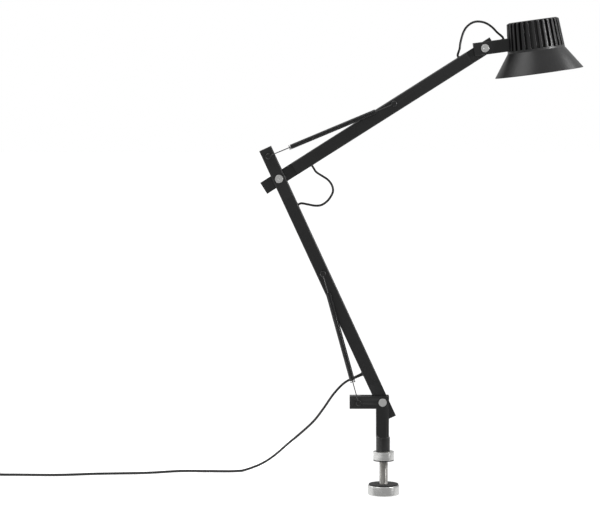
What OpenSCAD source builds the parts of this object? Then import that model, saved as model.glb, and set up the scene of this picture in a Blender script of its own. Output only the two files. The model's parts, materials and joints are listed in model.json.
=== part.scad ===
// Architect desk lamp with a through-desk screw mount.
// Origin on the stud's axis in the plane of the desk top, +Z up.
// +X points the way the head reaches, and the springs are on the -Y side.

/* [Pose] */
// Lean of the lower arm, back from upright, in degrees
lower_lean = 24.8; // [20:0.2:32]
// Rise of the upper arm above level, in degrees
upper_rise = 32.4; // [26:0.2:36]
// Rise of the head arm above level, in degrees
head_rise = 7.8; // [0:0.2:15]

/* [Arms] */
// Distance between the lower arm's pivots
lower_length = 382; // [370:2:420]
// Distance between the upper arm's pivots
upper_length = 374; // [370:2:420]
// Width of the square arm profile
profile = 20; // [19:0.5:22]
// Wall of the arm profile
arm_wall = 1.8; // [1.5:0.1:2.2]
// Rounding of the profile's corners
corner_r = 2; // [1.5:0.1:3]
// Height of the lower pivot above the desk top
pivot_z = 92; // [86:1:110]
// Reach of the base bracket's lever, back from the pivot
lever_reach = 51; // [49:1:60]

/* [Pivots] */
// Radius of the pivot bolts' shanks
bolt_r = 4; // [3:0.5:5]
// Radius of the bolts' silver heads
bolt_head_r = 6.25; // [6:0.25:7.5]
// Thickness of a tongue between its fork's cheeks
tongue_t = 8; // [6:0.5:9]

/* [Springs] */
// Outer radius of the lower spring
lower_spring_r = 4.3; // [3.8:0.1:4.6]
// Outer radius of the upper spring
upper_spring_r = 3.9; // [3.8:0.1:4.6]
// Radius of a hook wire
wire_r = 0.7; // [0.5:0.05:0.8]
// Distance along the lower arm from its pivot to its spring's anchor
lower_anchor_along = 221; // [214:1:226]
// Distance along the upper arm from its pivot to its spring's anchor
upper_anchor_along = 211; // [208:1:222]

/* [Head] */
// Radius of the finned drum at its top edge
drum_top_r = 40.2; // [38:0.2:44]
// Radius of the finned drum where it meets the shade
drum_low_r = 44.3; // [42:0.1:46]
// Radius of the shade's rim
shade_r = 68.5; // [60:0.5:75]
// Number of fins around the drum
fin_count = 30; // [24:1:36]
// Width of the gaps between the fins
fin_gap = 4.2; // [3:0.1:5]
// Depth of the gaps between the fins
fin_depth = 6; // [4:0.5:6.5]

/* [Mount] */
// Radius of the threaded stud
stud_r = 7; // [6.5:0.1:7.2]
// Radius of the collar on the desk
collar_r = 16.2; // [14:0.1:20]
// Radius of the clamping knob
knob_r = 24.5; // [23:0.5:30]
// Open space between the collar's pad and the knob's pad
desk_gap = 36.2; // [20:0.2:40]

/* [Cord] */
// Diameter of the power cord
cord_d = 3.6; // [3:0.1:4]
// Diameter of the arm cables
cable_d = 3.5; // [3:0.1:3.8]

/* [Hidden] */
$fn = 64;

skin = "#161616";
steel = "#b9b9b6";
alloy = "#c9c9c7";
half = profile / 2;
slot_half = tongue_t / 2 + 0.6;
washer_t = 0.5;
washer_r = 8.5;
bush_wall = 1.5;
fit = 0.05;
head_proud = 1.2;
shoulder_low = 35;
shoulder_high = 28;
tail = 28;
arm_top = 51;
slot_end = 3;
slot_past = 10;
tip_past = 15;
plug_t = 8;
flange_t = 2;
fitting_low = 33;
cord_along = 52.5;
elbow_low_along = lower_length - 49;
elbow_high_along = 53.6;
tip_cable_along = upper_length - 40.8;
hook_pin_up = 38.6;
pivot_x = -2;
foot_x = -1;
lever_pin_x = pivot_x - 37.4;
spring_y = -half - 5.5;
pin_past = 2.2;
pin_head_past = 1.6;
pin_r = 2.8;
hook_r = pin_r + 0.2 + wire_r;
hook_length = 80;
coil_start = 30;
spring_wall = 0.8;
coil_length = 145;
grommet_r = 3;
grommet_t = 0.4;
grommet_cap = 0.4;
relief_length = 18;
pin_length = 7;
pin_head_t = 1.4;
pin_head_extra = 0.9;
disc_chamfer = 0.5;
bolt_end = 0.4;
screw_head_low = 1.3;

pad_t = 1.5;
collar_top = 14.6;
post_foot = collar_top + 0.55;
stud_bottom = -desk_gap - 14;
knob_top = -desk_gap - pad_t - 0.2;
knob_height = 15.6;
plate_low = knob_top - 1.4;

drum_x = 78.2;
drum_top = 32.9;
drum_low = -13.9;
rim_low = -48.9;
drum_bore_r = 31;
neck_half = half;
neck_seam = 24.3;
neck_end = drum_x - 35;
lid_t = 6;
shade_t = 1.6;
button_r = 8;
lead_bend = 7;
lead_bore_r = 2.2;
lead_end = drum_x - drum_bore_r + 7;
neck_screw_end = drum_x - drum_bore_r + 6;
foot_r = 10.9;
spindle_r = 4.25;
spindle_low = -30;
spindle_top = 46;
plate_r = 21;
lever_block = 17;
tail_sweep = 31;
anchor_rise = 3;
fork_past = 16.9;
fork_slot = 20;
tenon_r = 6.4;
tenon_length = 10;
neck_cable_x = 29.5;
neck_screw_x = neck_end - 6.5;
neck_screw_y = 8.2;
neck_screw_r = 1.25;
neck_screw_head_r = 2.3;
shade_screw_r = 36.5;
shade_screw_angles = [0, 120, 240];
shade_screw_depth = 8;
screw_r = 1.5;
screw_head_t = 1.8;
rivet_head_r = 2.6;
fin_foot = 3.4;
board_r = 27;
board_t = 1.6;
chip = 2.8;
chip_row = 9;
lip_z = -21.4;
ring_z = lip_z - 3.4;
ring_t = 1.5;
drum_chamfer = 2;
drum_chamfer_in = 4.2;
neck_recess = 15;
dimmer_r = 14;
dimmer_depth = 10;
stem_r = 2;
stem_low = 2.2;
coil_centre = [-611, -120, 0];
coil_r = 21.5;
coil_strands = 9;
coil_bundle_r = cord_d / 2 + cord_d / (2 * sin(180 / coil_strands));
adapter_centre = [-621, -26, 0];
adapter_size = [38, 58, 24];
adapter_cord_z = 6;
pin_spacing = 18.6;
prong_length = 19;

// ---- places ----
function lean(a) = [sin(a), 0, cos(a)];
function across_lean(a) = [cos(a), 0, -sin(a)];
upper_tilt = 90 - upper_rise;
low_pivot = [pivot_x, 0, pivot_z];
elbow = low_pivot + lower_length * lean(-lower_lean);
head_pivot = elbow + upper_length * lean(upper_tilt);

function on_lower_at(x, z) = low_pivot + z * lean(-lower_lean) + x * across_lean(-lower_lean);
function on_upper_at(x, z) = elbow + z * lean(upper_tilt) + x * across_lean(upper_tilt);
function on_head_at(x, z) =
    head_pivot + x * across_lean(-head_rise) + z * lean(-head_rise);

module on_lower() { translate(low_pivot) rotate([0, -lower_lean, 0]) children(); }
module on_upper() { translate(elbow) rotate([0, upper_tilt, 0]) children(); }
module on_head() { translate(head_pivot) rotate([0, -head_rise, 0]) children(); }
module on_drum() { on_head() translate([drum_x, 0, 0]) children(); }

// A cylinder along Y from y0 to y1
module across(r, y0, y1) {
    translate([0, y0, 0]) rotate([-90, 0, 0]) cylinder(r = r, h = y1 - y0);
}

// A cylinder along X from x0 to x1
module along_x(r, x0, x1) {
    translate([x0, 0, 0]) rotate([0, 90, 0]) cylinder(r = r, h = x1 - x0);
}

// ---- shapes used more than once ----
module round_rect(w, d, r) {
    square([w - 2 * r, d], center = true);
    square([w, d - 2 * r], center = true);
    for (sx = [-1, 1], sy = [-1, 1])
        translate([sx * (w / 2 - r), sy * (d / 2 - r)]) circle(r = r, $fn = 32);
}

module bar(w, d, r, z0, z1) {
    translate([0, 0, z0]) linear_extrude(z1 - z0) round_rect(w, d, r);
}

module box(x, y, z) {
    translate([x[0], y[0], z[0]]) cube([x[1] - x[0], y[1] - y[0], z[1] - z[0]]);
}

module ring(r_in, r_out, z0, z1) {
    translate([0, 0, z0]) difference() {
        cylinder(r = r_out, h = z1 - z0);
        translate([0, 0, -1]) cylinder(r = r_in, h = z1 - z0 + 2);
    }
}

// Holes that a pivot makes in a fork: the bolt's hole and a seat for each silver disc
module pivot_holes() {
    across(bolt_r, -half - 1, half + 1);
    across(bolt_head_r + 0.1, -half - 1, -half + 1);
    across(bolt_head_r + 0.1, half - 1, half + 1);
}

module pivot_bolt() {
    color(steel) {
        across(bolt_r, -half, half + bolt_end);
        across(bolt_head_r, disc_chamfer - half - head_proud, -half + 1);
        translate([0, disc_chamfer - half - head_proud, 0]) rotate([90, 0, 0])
            cylinder(r1 = bolt_head_r, r2 = bolt_head_r - disc_chamfer, h = disc_chamfer);
    }
}

module cap_nut() {
    color(steel) difference() {
        union() {
            across(bolt_head_r, half - 1, half + head_proud - disc_chamfer);
            translate([0, half + head_proud - disc_chamfer, 0]) rotate([-90, 0, 0])
                cylinder(r1 = bolt_head_r, r2 = bolt_head_r - disc_chamfer, h = disc_chamfer);
        }
        across(bolt_r, half - 2, half + bolt_end);
    }
}

module pivot_bush() {
    color("#a98a4b") difference() {
        across(bolt_r + bush_wall, -tongue_t / 2, tongue_t / 2);
        across(bolt_r + fit, -tongue_t, tongue_t);
    }
}

module friction_washers() {
    color("#d8d4c8") for (side = [-1, 1])
        translate([0, side * (tongue_t / 2 + 0.05 + washer_t / 2), 0]) difference() {
            across(washer_r, -washer_t / 2, washer_t / 2);
            across(bolt_r + 0.1, -1, 1);
        }
}

// The flat tongue between a fork's cheeks, with the plug that holds it in its tube
module tongue(past, shoulder) {
    difference() {
        union() {
            box([-half, half], [-tongue_t / 2, tongue_t / 2], [-past, shoulder + 0.5]);
            bar(profile, profile, corner_r, shoulder, shoulder + flange_t);
            plug(shoulder + flange_t, shoulder + flange_t + plug_t);
        }
        across(bolt_r + bush_wall, -half, half);
        rivet_holes(shoulder + flange_t + plug_t / 2);
    }
}

module plug(z0, z1) {
    inner = profile - 2 * arm_wall - 0.1;
    bar(inner, inner, 1, z0, z1);
}

module tube(z0, z1) {
    inner = profile - 2 * arm_wall;
    difference() {
        bar(profile, profile, corner_r, z0, z1);
        bar(inner, inner, 1, z0 - 1, z1 + 1);
    }
}

// A rivet on the far side of the arm, through the tube's wall into the plug
module rivet(z) {
    color(skin) translate([0, 0, z]) {
        across(screw_r, half - 6, half);
        across(rivet_head_r, half, half + 0.6);
    }
}

module rivet_holes(z) { translate([0, 0, z]) across(screw_r, half - 6, half + 1); }

// A pin that stands out of the arm's near face and carries a spring's hook
module spring_pin() {
    color(skin) {
        across(pin_r, spring_y - pin_past, -half + pin_length);
        across(pin_r + pin_head_extra, spring_y - pin_head_past - pin_head_t,
            spring_y - pin_head_past);
    }
}

module spring_pin_hole() { across(pin_r, -half - 1, -half + pin_length); }

// The eye of a hook around its pin, with the straight wire that leaves it
module hook(length) {
    color(steel) {
        rotate([90, 0, 0]) rotate_extrude() translate([hook_r, 0]) circle(r = wire_r, $fn = 16);
        translate([0, 0, hook_r]) cylinder(r = wire_r, h = length - hook_r, $fn = 16);
    }
}

// A spring along Z from its pin: a hook, then the body of close turns, open at its far end
module spring(r) {
    hook(coil_start + 0.5);
    color(skin) {
        ring(r - spring_wall, r, coil_start, coil_start + coil_length);
        translate([0, 0, coil_start]) cylinder(r = r, h = spring_wall);
    }
}

// A rubber ring in a cable hole, along X, its cap outside a face at x = 0
module grommet(d) {
    color("#1d1d1d") difference() {
        union() {
            along_x(grommet_r, -arm_wall, 0);
            along_x(grommet_r + grommet_t, 0, grommet_cap);
        }
        along_x(d / 2 + 0.05, -arm_wall - 1, grommet_cap + 1);
    }
}

module cable_hole() { along_x(grommet_r, -arm_wall - 1, 1); }

// A quarter turn of cable in the XZ plane about a centre; turn picks the quadrant
module quarter_turn(centre, turn) {
    translate([centre[0], 0, centre[1]]) rotate([0, turn, 0]) rotate([90, 0, 0])
        rotate_extrude(angle = 90) translate([lead_bend, 0]) circle(d = cable_d, $fn = 16);
}

// A cable inside an arm along Z, from a hole in one side to a hole in another
module arm_lead(side0, z0, side1, z1) {
    wall_in = half - arm_wall;
    color("#101010") {
        along_x_between(side0 * wall_in, side0 * lead_bend, z0);
        quarter_turn([side0 * lead_bend, z0 + lead_bend], side0 > 0 ? 180 : 90);
        translate([0, 0, z0 + lead_bend])
            cylinder(d = cable_d, h = z1 - z0 - 2 * lead_bend, $fn = 16);
        quarter_turn([side1 * lead_bend, z1 - lead_bend], side1 > 0 ? 270 : 0);
        along_x_between(side1 * wall_in, side1 * lead_bend, z1);
    }
}

module along_x_between(a, b, z) {
    translate([min(a, b), 0, z]) rotate([0, 90, 0])
        cylinder(d = cable_d, h = abs(a - b), $fn = 16);
}

// ---- cords ----
// Points of a smooth curve through a route, steps to each stretch
function curve_point(a, b, c, d, t) =
    0.5 * ((2 * b) + (c - a) * t + (2 * a - 5 * b + 4 * c - d) * t * t
        + (3 * b - a - 3 * c + d) * t * t * t);
function route_at(p, i) = p[max(0, min(len(p) - 1, i))];
function smooth(p, steps) = concat(
    [for (i = [0 : len(p) - 2], k = [0 : steps - 1])
        curve_point(route_at(p, i - 1), p[i], p[i + 1], route_at(p, i + 2), k / steps)],
    [p[len(p) - 1]]);
function unit(v) = v / norm(v);
function heading(p, i) = unit(route_at(p, i + 1) - route_at(p, i - 1));
function ring_at(c, dir, ref, r, n) =
    let (u = unit(cross(dir, ref)), v = cross(u, dir))
    [for (k = [0 : n - 1]) c + r * (cos(360 * (k + 0.5) / n) * u + sin(360 * (k + 0.5) / n) * v)];

// A tube of n sides swept along points, with a ring at each point
module sweep(p, d, ref, n = 8) {
    last = len(p) - 1;
    rings = [for (i = [0 : last]) ring_at(p[i], heading(p, i), ref, d / 2, n)];
    polyhedron(
        points = [for (ring = rings, q = ring) q],
        faces = concat(
            [[for (k = [0 : n - 1]) k]],
            [[for (k = [0 : n - 1]) last * n + n - 1 - k]],
            [for (i = [0 : last - 1], k = [0 : n - 1])
                [i * n + k, (i + 1) * n + k, (i + 1) * n + (k + 1) % n, i * n + (k + 1) % n]]));
}

// A route kept on or above the desk top
function on_desk(p) = [for (q = p) [q[0], q[1], max(q[2], cord_d / 2)]];

// ---- desk mount ----
module desk_collar() {
    chamfer = 0.7;
    color(alloy) rotate_extrude() polygon([
        [stud_r, pad_t], [collar_r - chamfer, pad_t], [collar_r, pad_t + chamfer],
        [collar_r, collar_top - chamfer], [collar_r - chamfer, collar_top],
        [stud_r, collar_top]]);
}

module collar_pad() { color("#3a3a3a") ring(stud_r + 0.6, collar_r - 0.2, 0, pad_t); }

module threaded_stud() {
    color(steel) difference() {
        union() {
            translate([0, 0, stud_bottom + 1]) cylinder(r = stud_r, h = collar_top - stud_bottom - 1);
            translate([0, 0, stud_bottom]) cylinder(r1 = stud_r - 1, r2 = stud_r, h = 1);
        }
        translate([0, 0, spindle_low - 2])
            cylinder(r = spindle_r + fit, h = collar_top - spindle_low + 3);
    }
}

module thrust_washer() {
    color("#d8d4c8") ring(spindle_r + 0.2, foot_r - 1.4, collar_top, collar_top + 0.5);
}

module pressure_plate() { color(steel) ring(stud_r + 0.4, plate_r, plate_low + 0.05, -desk_gap - pad_t); }

module clamp_pad() { color("#3a3a3a") ring(stud_r + 0.6, knob_r - 1.5, -desk_gap - pad_t, -desk_gap); }

module clamp_knob() {
    edge = 2;
    low = knob_top - knob_height;
    color(alloy) difference() {
        rotate_extrude() {
            polygon([
                [0, low], [knob_r - edge, low], [knob_r, low + edge], [knob_r, knob_top - edge],
                [knob_r - edge, knob_top], [0, knob_top]]);
            for (z = [low + edge, knob_top - edge])
                translate([knob_r - edge, z]) intersection() {
                    circle(r = edge);
                    translate([0, -edge]) square([edge, 2 * edge]);
                }
        }
        translate([0, 0, low - 1]) cylinder(r = stud_r + fit, h = knob_height + 2);
        translate([0, 0, plate_low]) cylinder(r = plate_r + 0.2, h = 5);
    }
}

// ---- base bracket, which swivels on the stud ----
// The square post turns round below, and a flared cut makes the curved chamfers
module base_bracket() {
    round_top = 36;
    color(skin) difference() {
        union() {
            intersection() {
                translate([pivot_x, 0, 0])
                    bar(profile, profile, 1.5, round_top - 1, pivot_z + half);
                translate([foot_x, 0, round_top - 1])
                    cylinder(r1 = foot_r - 1, r2 = foot_r + 2 * pivot_z, h = 3 * pivot_z);
            }
            translate([foot_x, 0, 0]) {
                translate([0, 0, post_foot]) cylinder(r = foot_r, h = round_top - post_foot);
                translate([0, 0, round_top]) cylinder(r1 = foot_r, r2 = half, h = 1.4);
            }
            translate([pivot_x - lever_reach, 0, pivot_z]) rotate([0, 90, 0])
                bar(profile, profile, 1.5, 0, lever_reach + half);
        }
        box([pivot_x + lever_block - lever_reach, pivot_x + half + 1], [-slot_half, slot_half],
            [pivot_z - tail_sweep, pivot_z + half + 1]);
        translate(low_pivot) pivot_holes();
        translate([lever_pin_x, 0, pivot_z]) spring_pin_hole();
        translate([0, 0, post_foot - 1]) cylinder(r = spindle_r, h = spindle_top - post_foot + 1);
    }
}

module swivel_spindle() {
    color(steel) translate([0, 0, spindle_low])
        cylinder(r = spindle_r, h = spindle_top - spindle_low);
}

module lever_spring_pin() { translate([lever_pin_x, 0, pivot_z]) spring_pin(); }
module lower_pivot_bolt() { translate(low_pivot) pivot_bolt(); }
module lower_cap_nut() { translate(low_pivot) cap_nut(); }
module lower_friction_washers() { translate(low_pivot) friction_washers(); }

// ---- lower arm ----
lower_head_low = lower_length - fitting_low;

module lower_arm_tube() {
    color(skin) on_lower() difference() {
        tube(shoulder_low + flange_t, lower_head_low);
        translate([-half, 0, cord_along]) mirror([1, 0, 0]) cable_hole();
        translate([half, 0, elbow_low_along]) cable_hole();
        rivet_holes(shoulder_low + flange_t + plug_t / 2);
        rivet_holes(lower_head_low - plug_t / 2);
        translate([0, 0, lower_anchor_along]) spring_pin_hole();
    }
}

module lower_arm_tongue() { color(skin) on_lower() tongue(tail, shoulder_low); }

// The fork at the elbow: a solid head with a slot right through it for the upper arm's tongue
module lower_arm_head() {
    color(skin) on_lower() difference() {
        union() {
            bar(profile, profile, corner_r, lower_head_low, lower_length + arm_top);
            plug(lower_head_low - plug_t, lower_head_low + 0.5);
        }
        box([-half - 1, half + 1], [-slot_half, slot_half],
            [lower_length - tail - slot_end, lower_length + half + slot_past]);
        translate([0, 0, lower_length]) pivot_holes();
        translate([0, 0, lower_length + hook_pin_up]) spring_pin_hole();
        rivet_holes(lower_head_low - plug_t / 2);
    }
}

module lower_pivot_bush() { on_lower() pivot_bush(); }

module lower_rivets() {
    on_lower() {
        rivet(shoulder_low + flange_t + plug_t / 2);
        rivet(lower_head_low - plug_t / 2);
    }
}

module lower_arm_spring_pins() {
    on_lower() for (z = [lower_anchor_along, lower_length + hook_pin_up])
        translate([0, 0, z]) spring_pin();
}

// Tapered rubber sleeve where the power cord leaves the arm
module cord_relief() {
    color("#1d1d1d") on_lower() translate([-half, 0, cord_along]) mirror([1, 0, 0])
        difference() {
            union() {
                along_x(grommet_r, -arm_wall, 0);
                along_x(grommet_r + 0.6, 0, 1);
                translate([1, 0, 0]) rotate([0, 90, 0])
                    cylinder(r1 = cord_d / 2 + 0.9, r2 = cord_d / 2 + 0.3, h = relief_length - 1);
            }
            along_x(cord_d / 2 + 0.05, -arm_wall - 1, relief_length + 1);
        }
}

module lower_arm_grommet() {
    on_lower() translate([half, 0, elbow_low_along]) grommet(cable_d);
}

module lower_arm_lead() { on_lower() arm_lead(-1, cord_along, 1, elbow_low_along); }

module elbow_pivot_bolt() { translate(elbow) pivot_bolt(); }
module elbow_cap_nut() { translate(elbow) cap_nut(); }
module elbow_friction_washers() { translate(elbow) friction_washers(); }

// ---- springs ----
lower_anchor = on_lower_at(0, lower_anchor_along);
lever_pin = [lever_pin_x, 0, pivot_z];
upper_anchor = on_upper_at(-anchor_rise, upper_anchor_along);
elbow_pin = on_lower_at(0, lower_length + hook_pin_up);

// Turns Z at one pin towards another
module from_pin(a, b) {
    translate([a[0], spring_y, a[2]]) rotate([0, atan2(b[0] - a[0], b[2] - a[2]), 0]) children();
}

module lower_spring() { from_pin(lower_anchor, lever_pin) spring(lower_spring_r); }
module lower_spring_hook() { from_pin(lever_pin, lower_anchor) hook(hook_length); }
module upper_spring() { from_pin(upper_anchor, elbow_pin) spring(upper_spring_r); }
module upper_spring_hook() { from_pin(elbow_pin, upper_anchor) hook(hook_length); }

// ---- upper arm ----
tip_low = upper_length - shoulder_high;

module upper_arm_tube() {
    color(skin) on_upper() difference() {
        tube(shoulder_high + flange_t, tip_low - flange_t);
        translate([half, 0, elbow_high_along]) cable_hole();
        translate([-half, 0, tip_cable_along]) mirror([1, 0, 0]) cable_hole();
        rivet_holes(shoulder_high + flange_t + plug_t / 2);
        rivet_holes(tip_low - flange_t - plug_t / 2);
        translate([-anchor_rise, 0, upper_anchor_along]) spring_pin_hole();
    }
}

module upper_arm_tongue() { color(skin) on_upper() tongue(tail, shoulder_high); }

module upper_arm_tip() {
    color(skin) on_upper() translate([0, 0, upper_length]) mirror([0, 0, 1])
        tongue(tip_past, shoulder_high);
}

module upper_pivot_bushes() {
    on_upper() for (z = [0, upper_length]) translate([0, 0, z]) pivot_bush();
}

module upper_rivets() {
    on_upper() {
        rivet(shoulder_high + flange_t + plug_t / 2);
        rivet(tip_low - flange_t - plug_t / 2);
    }
}

module upper_arm_spring_pin() {
    on_upper() translate([-anchor_rise, 0, upper_anchor_along]) spring_pin();
}

module upper_arm_grommets() {
    on_upper() {
        translate([half, 0, elbow_high_along]) grommet(cable_d);
        translate([-half, 0, tip_cable_along]) mirror([1, 0, 0]) grommet(cable_d);
    }
}

module upper_arm_lead() { on_upper() arm_lead(1, elbow_high_along, -1, tip_cable_along); }

// ---- head ----
module head_fork() {
    color(skin) on_head() difference() {
        union() {
            rotate([0, 90, 0]) bar(2 * neck_half, profile, 1.5, -fork_past, neck_seam);
            along_x(tenon_r, neck_seam - 1, neck_seam + tenon_length);
        }
        box([-fork_past - 1, fork_slot], [-slot_half, slot_half], [-neck_half - 1, neck_half + 1]);
        pivot_holes();
        along_x(tenon_r - 1.4, neck_seam - 2, neck_seam + tenon_length + 1);
        neck_cable_hole();
    }
}

module neck_cable_hole() {
    translate([neck_cable_x, 0, 3]) cylinder(r = grommet_r, h = neck_half);
}

module head_neck() {
    color(skin) on_head() difference() {
        rotate([0, 90, 0]) bar(2 * neck_half, profile, 1.5, neck_seam, neck_end);
        along_x(tenon_r, neck_seam - 1, neck_end + 1);
        neck_cable_hole();
        neck_screw_holes();
    }
}

module neck_screw_holes() {
    for (side = [-1, 1]) translate([0, side * neck_screw_y, 0])
        along_x(neck_screw_r, neck_screw_x, neck_screw_end);
}

module head_pivot_bolt() { on_head() pivot_bolt(); }
module head_cap_nut() { on_head() cap_nut(); }
module head_friction_washers() { on_head() friction_washers(); }

module neck_grommet() {
    on_head() translate([neck_cable_x, 0, neck_half]) rotate([0, -90, 0]) grommet(cable_d);
}

// Cable from the neck's top hole, round into the drum
module head_lead() {
    top = neck_half - arm_wall;
    color("#101010") on_head() {
        quarter_turn([neck_cable_x + lead_bend, top], 180);
        translate([0, 0, top - lead_bend]) rotate([0, 90, 0])
            translate([0, 0, neck_cable_x + lead_bend])
            cylinder(d = cable_d, h = lead_end - neck_cable_x - lead_bend, $fn = 16);
    }
}

// Two screws that hold the neck and three that hold the shade
module head_screws() {
    head_x = drum_x - sqrt(pow(drum_bore_r, 2) - pow(neck_screw_y + neck_screw_head_r, 2));
    color(steel) {
        on_head() for (side = [-1, 1]) translate([0, side * neck_screw_y, 0]) {
            along_x(neck_screw_r, neck_screw_x, head_x + 0.1);
            along_x(neck_screw_head_r, head_x + 0.1, head_x + 0.1 + screw_head_t);
        }
        on_drum() for (a = shade_screw_angles) rotate([0, 0, a]) translate([shade_screw_r, 0, 0]) {
            translate([0, 0, drum_low - shade_t]) cylinder(r = screw_r, h = shade_screw_depth);
            translate([0, 0, drum_low - shade_t - screw_head_low])
                cylinder(r = rivet_head_r, h = screw_head_low);
        }
    }
}

// Aluminium drum, open below, with upright fins cut all round it
module finned_drum() {
    cavity_top = drum_top - lid_t;
    color(skin) on_drum() difference() {
        translate([0, 0, drum_low])
            cylinder(r1 = drum_low_r, r2 = drum_top_r, h = drum_top - drum_chamfer - drum_low);
        for (i = [0 : fin_count - 1]) rotate([0, 0, (i + 0.5) * 360 / fin_count])
            fin_cut();
        translate([0, 0, drum_low - 1]) cylinder(r = drum_bore_r, h = cavity_top - drum_low + 1);
        box([neck_end - drum_x - neck_recess, neck_end - drum_x], [-half, half], [-neck_half, neck_half]);
        translate([-drum_x, 0, 0]) neck_screw_holes();
        translate([0, 0, neck_half - arm_wall - lead_bend])
            along_x(lead_bore_r, neck_end - drum_x - 5, lead_end - drum_x - 1);
        shade_screw_holes(shade_screw_depth);
        translate([0, 0, cavity_top - 1]) cylinder(r = button_r + 0.3, h = lid_t + 2);
    }
    color(skin) on_drum() difference() {
        translate([0, 0, drum_top - drum_chamfer - 0.01])
            cylinder(r1 = drum_top_r, r2 = drum_top_r - drum_chamfer_in, h = drum_chamfer + 0.01);
        for (i = [0 : fin_count - 1]) rotate([0, 0, (i + 0.5) * 360 / fin_count])
            fin_cut();
        translate([0, 0, cavity_top - 1]) cylinder(r = button_r + 0.3, h = lid_t + 2);
    }
}

// The gap between two fins follows the drum's slope
module fin_cut() {
    slope = atan2(drum_low_r - drum_top_r, drum_top - drum_chamfer - drum_low);
    translate([drum_low_r - fin_depth, 0, drum_low]) rotate([0, -slope, 0])
        translate([0, -fin_gap / 2, fin_foot])
        cube([20, fin_gap, drum_top - drum_low - fin_foot - 0.8]);
}

module shade_screw_holes(depth) {
    for (a = shade_screw_angles) rotate([0, 0, a])
        translate([shade_screw_r, 0, drum_low - shade_t - 1]) cylinder(r = screw_r, h = depth + 1);
}

module led_plate() {
    color(alloy) on_drum() translate([0, 0, drum_low])
        cylinder(r = drum_bore_r - 0.1, h = 5);
}

// A round board with one chip in the middle and two rings of chips round it
module led_board() {
    color("#efefe8") on_drum() translate([0, 0, drum_low - board_t]) {
        cylinder(r = board_r, h = board_t);
        for (row = [0, 1, 2], i = [0 : max(0, 6 * row - 1)])
            rotate([0, 0, i * 360 / max(1, 6 * row)])
                translate([row * chip_row - chip / 2, -chip / 2, -0.7]) cube([chip, chip, 0.8]);
    }
}

// Radius of the shade's inner face at a height
shade_wall = shade_t / cos(atan2(shade_r - drum_low_r, drum_low - rim_low));
function shade_inside(z) = drum_low_r - shade_wall
    + (drum_low - shade_t - z) * (shade_r - drum_low_r) / (drum_low - shade_t - rim_low);

// White cone from the board to a flat lip above the diffuser
module reflector() {
    lip_r = shade_inside(lip_z) - 0.3;
    color("white") on_drum() rotate_extrude() polygon([
        [board_r + 0.4, drum_low - shade_t - 1.8], [board_r + 1.6, drum_low - shade_t - 0.1],
        [31, drum_low - shade_t - 0.1], [41.5, lip_z], [lip_r, lip_z], [lip_r, lip_z - 1.2],
        [40.6, lip_z - 1.2], [board_r + 3.2, drum_low - shade_t - 3]]);
}

module diffuser() {
    color("#f4f3ee", 0.9) on_drum() translate([0, 0, lip_z - 3.3]) cylinder(r = 45, h = 2);
}

module diffuser_ring() {
    color(skin) on_drum() ring(42.5, shade_inside(ring_z) - 0.3, ring_z - ring_t, ring_z);
}

// Spun cone with a flat top that the drum sits on
module shade() {
    color(skin) on_drum() difference() {
        rotate_extrude() polygon([
            [drum_bore_r, drum_low], [drum_low_r, drum_low], [shade_r, rim_low],
            [shade_r - shade_wall, rim_low], [drum_low_r - shade_wall, drum_low - shade_t],
            [drum_bore_r, drum_low - shade_t]]);
        shade_screw_holes(5);
    }
}

module dimmer_button() {
    color("#2a2a2a") on_drum() {
        translate([0, 0, drum_top - 3.4]) cylinder(r = button_r, h = 3);
        translate([0, 0, drum_top - lid_t - stem_low]) cylinder(r = stem_r, h = lid_t - 1);
    }
}

module dimmer_switch() {
    color("#4a4a4a") on_drum() translate([0, 0, drum_top - lid_t - 0.01]) difference() {
        translate([0, 0, -dimmer_depth]) cylinder(r = dimmer_r, h = dimmer_depth);
        translate([0, 0, -stem_low - 2]) cylinder(r = stem_r + 0.1, h = stem_low + 3);
    }
}

// ---- free cords ----
relief_tip = on_lower_at(-half - relief_length, cord_along);
cord_route = concat(
    [
        on_lower_at(arm_wall - half - 0.3, cord_along), relief_tip,
        on_lower_at(-half - relief_length - 8, cord_along)
    ],
    [
        [-66, -4, 118], [-79, -8, 104], [-93, -17, 85], [-108, -29, 67], [-126, -43, 52],
        [-148, -60, 36], [-173, -82, 18], [-197, -98, 7], [-230, -112, 0], [-267, -112, 0],
        [-312, -111, 0], [-362, -128, 0], [-434, -136, 0], [-492, -147, 0], [-552, -145, 0],
        [-587, -144, 0], coil_centre - [0, coil_r, 0]
    ]);
tail_route = [
    [-635, -120, 2], [-636, -112, 0], [-636, -104, 0], [-632, -94, 0], [-625, -84, 3],
    [-621, -74, 6], [-621, -66, 6], [-621, -60, 6]
];
elbow_route = [
    on_upper_at(half - arm_wall, elbow_high_along), on_upper_at(half + 4, elbow_high_along),
    [-105, 0, 449], [-96, 0, 443], [-87, 0, 437], [-81, 0, 429], [-79, 0, 420], [-82, 0, 412],
    [-88, 0, 404], [-97, 0, 398], [-107, 0, 397], [-118, 0, 399],
    on_lower_at(half + 5, elbow_low_along), on_lower_at(half - arm_wall, elbow_low_along)
];
head_route = [
    on_upper_at(arm_wall - half, tip_cable_along), on_upper_at(-half - 3, tip_cable_along),
    [115, 0, 638], [116, 0, 646], [118, 0, 655], [121, 0, 664], [126, 0, 672], [134, 0, 678],
    [143, 0, 680], [154, 0, 678], [164, 0, 672], [173, 0, 663],
    on_head_at(neck_cable_x, neck_half + 3), on_head_at(neck_cable_x, neck_half - arm_wall)
];

module power_cord() {
    color("#1a1a1a") {
        sweep(on_desk(smooth(cord_route, 3)), cord_d, [0, 0, 1]);
        sweep(on_desk(tail_route), cord_d, [0, 0, 1]);
    }
}

// The stored part of the cord, its turns in a round bundle
module cord_coil() {
    color("#1a1a1a") translate(coil_centre) rotate_extrude()
        translate([coil_r, coil_bundle_r]) circle(r = coil_bundle_r);
}

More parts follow.
